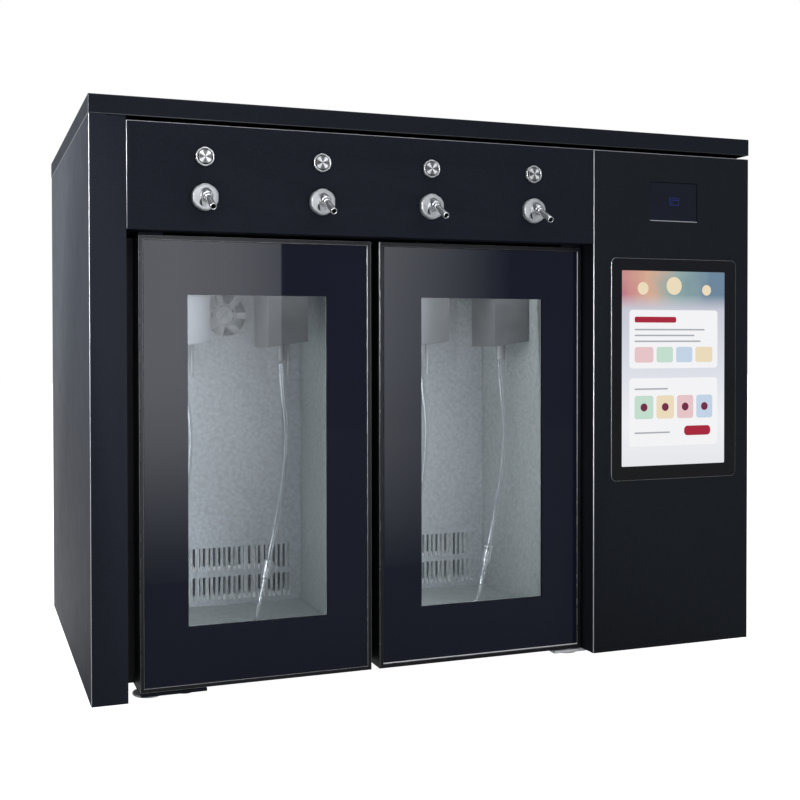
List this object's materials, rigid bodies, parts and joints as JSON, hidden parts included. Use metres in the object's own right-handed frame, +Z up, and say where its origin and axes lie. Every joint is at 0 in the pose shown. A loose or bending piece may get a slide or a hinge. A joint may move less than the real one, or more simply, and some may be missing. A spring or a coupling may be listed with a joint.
{
  "type": "wine preservation dispenser",
  "caption": "Countertop wine preservation dispenser: two glass-door chilled compartments, push-button taps above, a touch display and a card reader on a machine column.",
  "frame": {"origin": "middle of the whole object's box, on the surface it stands on", "axes": "+X to the right seen from the front, +Y to the back, +Z up"},
  "size_m": [0.745, 0.4916, 0.5895],
  "materials": {
    "black_paint": "black powder coat with a fine grain",
    "side_paint": "black powder coat",
    "zinc_sheet": "bare zinc-coated sheet",
    "foam_skin": "black skinned insulating foam",
    "liner_steel": "embossed stainless sheet, low gloss",
    "coil_aluminium": "plain fins",
    "fan_plastic": "matt",
    "led_diffuser": "milky diffuser",
    "housing_plastic": "satin grey",
    "clear_hose": "clear tube",
    "clear_fitting": "clear moulded fitting",
    "door_plastic": "black",
    "outer_glass": "tinted, polished",
    "inner_glass": "clear, polished",
    "gasket_rubber": "matt black",
    "bracket_steel": "zinc plated",
    "polished_steel": "polished stainless, turned button caps",
    "valve_body": "dark moulded coil and body",
    "manifold_metal": "plain",
    "brass_fitting": "turned brass",
    "display_cover": "black-backed cover glass",
    "module_case": "dark grey case",
    "reader_window": "dark smoked window",
    "circuit_board": "green laminate",
    "supply_case": "perforated case",
    "compressor_paint": "gloss black paint",
    "inlet_plastic": "black",
    "switch_plastic": "red rocker",
    "foot_rubber": "matt black"
  },
  "bodies": {
    "casing": {"top_panel": "black_paint", "left_side_panel": "side_paint", "right_side_panel": "side_paint", "rear_panel": "black_paint", "base_plate": "black_paint", "control_fascia": "black_paint", "column_front_panel": "black_paint", "column_partition": "zinc_sheet", "insulated_cabinet": "foam_skin", "cavity_liners": "liner_steel", "evaporator_covers": "liner_steel", "evaporators": "coil_aluminium", "evaporator_fan_frames": "fan_plastic", "led_strips": "led_diffuser", "port_housings": "housing_plastic", "wine_hose_1": "clear_hose", "wine_hose_2": "clear_hose", "wine_hose_3": "clear_hose", "wine_hose_4": "clear_hose", "hose_end_fittings": "clear_fitting", "hinge_brackets": "bracket_steel", "button_bezels": "polished_steel", "tap_flanges": "polished_steel", "spout_1": "polished_steel", "spout_2": "polished_steel", "spout_3": "polished_steel", "spout_4": "polished_steel", "solenoid_valves": "valve_body", "wine_tubes": "clear_hose", "gas_manifold": "manifold_metal", "gas_inlet": "brass_fitting", "display_glass": "display_cover", "display_module": "module_case", "card_reader": "reader_window", "controller_board": "circuit_board", "power_supply": "supply_case", "compressor": "compressor_paint", "condenser": "coil_aluminium", "condenser_fan_frame": "fan_plastic", "mains_inlet": "inlet_plastic", "rubber_feet": "foot_rubber", "casing_screws": "bracket_steel"},
    "door_left": {"door_frame_left": "door_plastic", "outer_glass_left": "outer_glass", "inner_glass_left": "inner_glass", "door_gasket_left": "gasket_rubber"},
    "door_right": {"door_frame_right": "door_plastic", "outer_glass_right": "outer_glass", "inner_glass_right": "inner_glass", "door_gasket_right": "gasket_rubber"},
    "tap_button_1": {"button_1": "polished_steel"},
    "tap_button_2": {"button_2": "polished_steel"},
    "tap_button_3": {"button_3": "polished_steel"},
    "tap_button_4": {"button_4": "polished_steel"},
    "evaporator_rotor_left": {"evaporator_rotor_left": "fan_plastic"},
    "evaporator_rotor_right": {"evaporator_rotor_right": "fan_plastic"},
    "condenser_fan_rotor": {"condenser_fan_rotor": "fan_plastic"},
    "rocker": {"power_switch": "switch_plastic"},
    "foot_left": {"levelling_foot_left": "polished_steel"},
    "foot_right": {"levelling_foot_right": "polished_steel"}
  },
  "joints": [
    {"name": "door_left_hinge", "type": "hinge", "parent": "casing", "child": "door_left", "pos_m": [-0.311, -0.17517, 0.239], "axis": [0, 0, -1], "range_deg": [0, 95]},
    {"name": "door_right_hinge", "type": "hinge", "parent": "casing", "child": "door_right", "pos_m": [0.153, -0.17517, 0.239], "axis": [0, 0, 1], "range_deg": [0, 95]},
    {"name": "button_1_press", "type": "slide", "parent": "casing", "child": "tap_button_1", "axis": [0, 1, 0], "range_m": [0, 0.002], "stiffness_N_per_m": 600, "springref_m": -0.002},
    {"name": "button_2_press", "type": "slide", "parent": "casing", "child": "tap_button_2", "axis": [0, 1, 0], "range_m": [0, 0.002], "stiffness_N_per_m": 600, "springref_m": -0.002},
    {"name": "button_3_press", "type": "slide", "parent": "casing", "child": "tap_button_3", "axis": [0, 1, 0], "range_m": [0, 0.002], "stiffness_N_per_m": 600, "springref_m": -0.002},
    {"name": "button_4_press", "type": "slide", "parent": "casing", "child": "tap_button_4", "axis": [0, 1, 0], "range_m": [0, 0.002], "stiffness_N_per_m": 600, "springref_m": -0.002},
    {"name": "evaporator_left_spin", "type": "hinge", "parent": "casing", "child": "evaporator_rotor_left", "pos_m": [-0.194, 0.01183, 0.389], "axis": [0, 1, 0], "continuous": true},
    {"name": "evaporator_right_spin", "type": "hinge", "parent": "casing", "child": "evaporator_rotor_right", "pos_m": [0.046, 0.01183, 0.389], "axis": [0, 1, 0], "continuous": true},
    {"name": "condenser_spin", "type": "hinge", "parent": "casing", "child": "condenser_fan_rotor", "pos_m": [0.27, 0.17833, 0.1235], "axis": [0, 1, 0], "continuous": true},
    {"name": "rocker_tilt", "type": "hinge", "parent": "casing", "child": "rocker", "pos_m": [0.268, 0.22883, 0.4595], "axis": [-1, 0, 0], "range_deg": [0, 20]},
    {"name": "foot_left_thread", "type": "slide", "parent": "casing", "child": "foot_left", "axis": [0, 0, -1], "range_m": [0, 0.012]},
    {"name": "foot_right_thread", "type": "slide", "parent": "casing", "child": "foot_right", "axis": [0, 0, -1], "range_m": [0, 0.012]}
  ]
}
